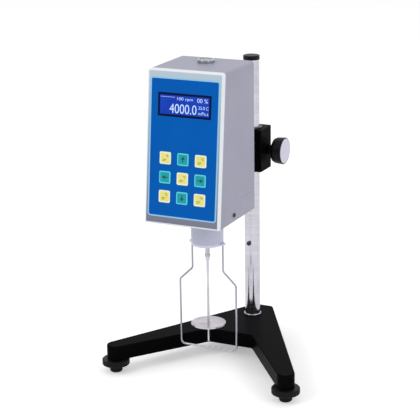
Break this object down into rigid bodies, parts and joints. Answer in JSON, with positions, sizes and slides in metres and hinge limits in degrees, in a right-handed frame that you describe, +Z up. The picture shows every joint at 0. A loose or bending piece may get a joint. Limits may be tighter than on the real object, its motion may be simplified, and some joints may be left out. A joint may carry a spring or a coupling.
{
  "type": "rotational viscometer",
  "caption": "Bench rotational viscometer: keyed head on a geared column, V base, guarded disc spindle.",
  "frame": {"origin": "bottom centre of the bounding box, on the bench under the instrument", "axes": "+Z up along the column, the panel faces -Y, +X is the viewer's right"},
  "size_m": [0.2918, 0.2684, 0.4408],
  "materials": {
    "black_enamel": "glossy black enamel",
    "black_plastic": "glossy black plastic",
    "bright_steel": "ground bright steel",
    "dark_steel": "blackened steel",
    "grey_paint": "smooth lavender-grey paint",
    "grey_anodised": "satin light grey",
    "blue_sheet": "printed blue film",
    "display_glass": "clear window over a blue display",
    "board": "green board",
    "bright_sheet": "plated sheet",
    "chrome_plate": "polished chrome",
    "vial_glass": "clear vial",
    "bright_alloy": "turned aluminium",
    "gear_brass": "cut brass",
    "spring_alloy": "spring strip",
    "motor_shell": "black shell",
    "teal_key": "teal with dark arrows",
    "yellow_key": "pale yellow"
  },
  "bodies": {
    "stand": {"base_casting": "black_enamel", "column": "bright_steel", "column_rack": "bright_steel", "column_cap": "black_plastic", "column_ring": "bright_steel", "column_bolt": "dark_steel", "stop_screw": "dark_steel"},
    "head": {"carriage_block": "black_enamel", "carriage_bushes": "bright_steel", "friction_screw": "dark_steel", "support_rod": "bright_steel", "clamp_screw": "dark_steel", "flange_screws": "dark_steel", "head_cover": "grey_paint", "bottom_pan": "grey_paint", "rear_cover": "grey_paint", "cover_screws": "bright_steel", "front_bezel": "grey_anodised", "panel_sheet": "blue_sheet", "display_window": "display_glass", "display_module": "board", "key_board": "board", "main_board": "board", "power_supply": "bright_sheet", "motor": "motor_shell", "gear_plate": "bright_alloy", "level_cup": "chrome_plate", "level_vial": "vial_glass", "lower_boss": "bright_alloy", "guard_ring": "bright_alloy", "guard_frame": "bright_steel", "power_inlet": "black_plastic", "rocker_frame": "black_plastic", "serial_port": "bright_sheet"},
    "drive": {"drive_shaft": "bright_alloy", "drive_gear": "gear_brass", "calibrated_spring": "spring_alloy"},
    "pinion": {"motor_pinion": "bright_steel"},
    "pivot": {"pivot_shaft": "bright_steel", "spindle_coupling": "bright_steel", "spindle": "bright_steel"},
    "lift": {"lift_shaft": "bright_steel", "lift_knob": "black_plastic", "lift_knob_face": "bright_alloy"},
    "rocker": {"power_rocker": "black_plastic"},
    "key_1_1": {"key_1_1": "yellow_key"},
    "key_1_2": {"key_1_2": "teal_key"},
    "key_1_3": {"key_1_3": "yellow_key"},
    "key_2_1": {"key_2_1": "teal_key"},
    "key_2_2": {"key_2_2": "yellow_key"},
    "key_2_3": {"key_2_3": "teal_key"},
    "key_3_1": {"key_3_1": "yellow_key"},
    "key_3_2": {"key_3_2": "teal_key"},
    "key_3_3": {"key_3_3": "yellow_key"},
    "pad_left": {"foot_pad_left": "black_plastic"},
    "screw_left": {"foot_screw_left": "dark_steel"},
    "pad_right": {"foot_pad_right": "black_plastic"},
    "screw_right": {"foot_screw_right": "dark_steel"},
    "pad_rear": {"foot_pad_rear": "black_plastic"},
    "screw_rear": {"foot_screw_rear": "dark_steel"}
  },
  "joints": [
    {"name": "head_lift", "type": "slide", "parent": "stand", "child": "head", "axis": [0, 0, 1], "range_m": [-0.04, 0.09]},
    {"name": "lift_turn", "type": "hinge", "parent": "head", "child": "lift", "pos_m": [0.036, 0.10865, 0.2845], "axis": [1, 0, 0], "range_deg": [-370, 825]},
    {"name": "drive_turn", "type": "hinge", "parent": "head", "child": "drive", "pos_m": [0, -0.05675, 0.253], "axis": [0, 0, 1], "continuous": true},
    {"name": "pinion_turn", "type": "hinge", "parent": "head", "child": "pinion", "pos_m": [0, -0.09275, 0.253], "axis": [0, 0, 1], "continuous": true},
    {"name": "spindle_lag", "type": "hinge", "parent": "drive", "child": "pivot", "pos_m": [0, -0.05675, 0.25], "axis": [0, 0, 1], "range_deg": [-5, 85], "stiffness_Nm_per_rad": 0.000484},
    {"name": "rocker_tip", "type": "hinge", "parent": "head", "child": "rocker", "pos_m": [-0.002, -0.02325, 0.396], "axis": [1, 0, 0], "range_deg": [0, 12]},
    {"name": "key_1_1_press", "type": "slide", "parent": "head", "child": "key_1_1", "axis": [0, 0.9945, -0.1049], "range_m": [0, 0.0004], "stiffness_N_per_m": 2500},
    {"name": "key_1_2_press", "type": "slide", "parent": "head", "child": "key_1_2", "axis": [0, 0.9945, -0.1049], "range_m": [0, 0.0004], "stiffness_N_per_m": 2500},
    {"name": "key_1_3_press", "type": "slide", "parent": "head", "child": "key_1_3", "axis": [0, 0.9945, -0.1049], "range_m": [0, 0.0004], "stiffness_N_per_m": 2500},
    {"name": "key_2_1_press", "type": "slide", "parent": "head", "child": "key_2_1", "axis": [0, 0.9945, -0.1049], "range_m": [0, 0.0004], "stiffness_N_per_m": 2500},
    {"name": "key_2_2_press", "type": "slide", "parent": "head", "child": "key_2_2", "axis": [0, 0.9945, -0.1049], "range_m": [0, 0.0004], "stiffness_N_per_m": 2500},
    {"name": "key_2_3_press", "type": "slide", "parent": "head", "child": "key_2_3", "axis": [0, 0.9945, -0.1049], "range_m": [0, 0.0004], "stiffness_N_per_m": 2500},
    {"name": "key_3_1_press", "type": "slide", "parent": "head", "child": "key_3_1", "axis": [0, 0.9945, -0.1049], "range_m": [0, 0.0004], "stiffness_N_per_m": 2500},
    {"name": "key_3_2_press", "type": "slide", "parent": "head", "child": "key_3_2", "axis": [0, 0.9945, -0.1049], "range_m": [0, 0.0004], "stiffness_N_per_m": 2500},
    {"name": "key_3_3_press", "type": "slide", "parent": "head", "child": "key_3_3", "axis": [0, 0.9945, -0.1049], "range_m": [0, 0.0004], "stiffness_N_per_m": 2500},
    {"name": "pad_left_slide", "type": "slide", "parent": "stand", "child": "pad_left", "axis": [0, 0, 1], "range_m": [-0.006, 0.0005]},
    {"name": "screw_left_turn", "type": "hinge", "parent": "pad_left", "child": "screw_left", "pos_m": [-0.127, -0.09025, 0.015], "axis": [0, 0, 1], "range_deg": [-1440, 120]},
    {"name": "pad_right_slide", "type": "slide", "parent": "stand", "child": "pad_right", "axis": [0, 0, 1], "range_m": [-0.006, 0.0005]},
    {"name": "screw_right_turn", "type": "hinge", "parent": "pad_right", "child": "screw_right", "pos_m": [0.127, -0.09025, 0.015], "axis": [0, 0, 1], "range_deg": [-1440, 120]},
    {"name": "pad_rear_slide", "type": "slide", "parent": "stand", "child": "pad_rear", "axis": [0, 0, 1], "range_m": [-0.006, 0.0005]},
    {"name": "screw_rear_turn", "type": "hinge", "parent": "pad_rear", "child": "screw_rear", "pos_m": [0, 0.11425, 0.015], "axis": [0, 0, 1], "range_deg": [-1440, 120]}
  ],
  "couplings": [
    {"joint": "lift_turn", "follows": "head_lift", "rad_per_m": 158.73},
    {"joint": "pinion_turn", "follows": "drive_turn", "ratio": -3.5},
    {"joint": "pad_left_slide", "follows": "screw_left_turn", "m_per_rad": 0.00023873},
    {"joint": "pad_right_slide", "follows": "screw_right_turn", "m_per_rad": 0.00023873},
    {"joint": "pad_rear_slide", "follows": "screw_rear_turn", "m_per_rad": 0.00023873}
  ]
}
